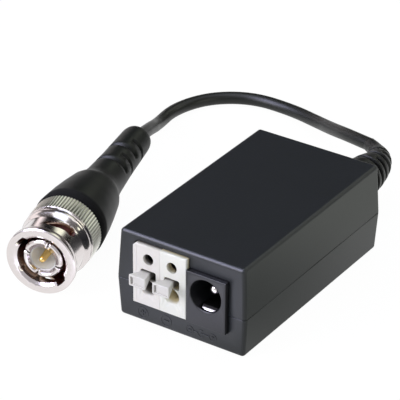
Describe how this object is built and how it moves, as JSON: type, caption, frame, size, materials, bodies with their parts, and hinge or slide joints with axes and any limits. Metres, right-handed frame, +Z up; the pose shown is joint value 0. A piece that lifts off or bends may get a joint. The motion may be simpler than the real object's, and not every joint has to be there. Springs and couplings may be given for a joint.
{
  "type": "cctv video balun",
  "caption": "Powered video balun: moulded case with push-button wire terminals and a barrel power jack, and a short coaxial lead with a bayonet plug.",
  "frame": {"origin": "middle of the case's flat underside", "axes": "+X to the right of the front, +Y from the front with the terminals to the back with the lead, +Z up"},
  "size_m": [0.0642, 0.09, 0.0181],
  "materials": {
    "case_abs": "moulded ABS, dark blue-grey, fine satin texture",
    "terminal_polyamide": "moulded polyamide, off-white",
    "button_polyamide": "moulded polyamide, light grey",
    "jack_plastic": "moulded PBT, black",
    "board_laminate": "glass-epoxy laminate with green solder mask",
    "ferrite": "sintered ferrite",
    "copper_wire": "enamelled copper",
    "chip_epoxy": "moulded epoxy, black",
    "capacitor_can": "aluminium can",
    "spring_steel": "bright spring steel strip",
    "tinned_copper": "tinned copper alloy",
    "nickel": "bright nickel-plated brass",
    "gold": "gold-plated brass",
    "insulator_ptfe": "turned PTFE, pearly white",
    "gasket_silicone": "moulded silicone rubber, dark red",
    "boot_pvc": "moulded soft PVC, black",
    "relief_pvc": "moulded soft PVC, black",
    "cable_jacket": "extruded PVC jacket, dark grey"
  },
  "bodies": {
    "case": {"upper_shell": "case_abs", "lower_shell": "case_abs", "circuit_board": "board_laminate", "balun_core": "ferrite", "balun_winding": "copper_wire", "amplifier_chip": "chip_epoxy", "smoothing_capacitor": "capacitor_can", "surge_diode": "chip_epoxy", "terminal_end_plate": "terminal_polyamide", "terminal_module_left": "terminal_polyamide", "terminal_module_right": "terminal_polyamide", "clamp_spring_left": "spring_steel", "clamp_spring_right": "spring_steel", "contact_bar_left": "tinned_copper", "contact_bar_right": "tinned_copper", "jack_housing": "jack_plastic", "jack_centre_pin": "nickel", "jack_spring_contact": "tinned_copper", "jack_switch_contact": "tinned_copper", "cable_grommet": "relief_pvc", "coax_cable": "cable_jacket", "plug_boot": "boot_pvc", "crimp_ferrule": "nickel", "plug_body": "nickel", "plug_insulator": "insulator_ptfe", "plug_centre_pin": "gold", "plug_gasket": "gasket_silicone", "wave_washer": "spring_steel", "retaining_clip": "spring_steel"},
    "button_left": {"button_left": "button_polyamide"},
    "button_right": {"button_right": "button_polyamide"},
    "coupling_slide": {"thrust_washer": "spring_steel"},
    "coupling": {"coupling_sleeve": "nickel"}
  },
  "joints": [
    {"name": "button_left_press", "type": "slide", "parent": "case", "child": "button_left", "axis": [0, 1, 0], "range_m": [0, 0.001], "stiffness_N_per_m": 500, "springref_m": -0.002, "deforming": ["clamp_spring_left"]},
    {"name": "button_right_press", "type": "slide", "parent": "case", "child": "button_right", "axis": [0, 1, 0], "range_m": [0, 0.001], "stiffness_N_per_m": 500, "springref_m": -0.002, "deforming": ["clamp_spring_right"]},
    {"name": "coupling_draw", "type": "slide", "parent": "case", "child": "coupling_slide", "axis": [0.2385, -0.9709, -0.0216], "range_m": [0, 0.0008], "stiffness_N_per_m": 2000, "springref_m": -0.0005, "deforming": ["wave_washer"]},
    {"name": "coupling_turn", "type": "hinge", "parent": "coupling_slide", "child": "coupling", "pos_m": [-0.02939, -0.02622, 0.0069], "axis": [-0.2385, 0.9709, 0.0216], "continuous": true}
  ]
}
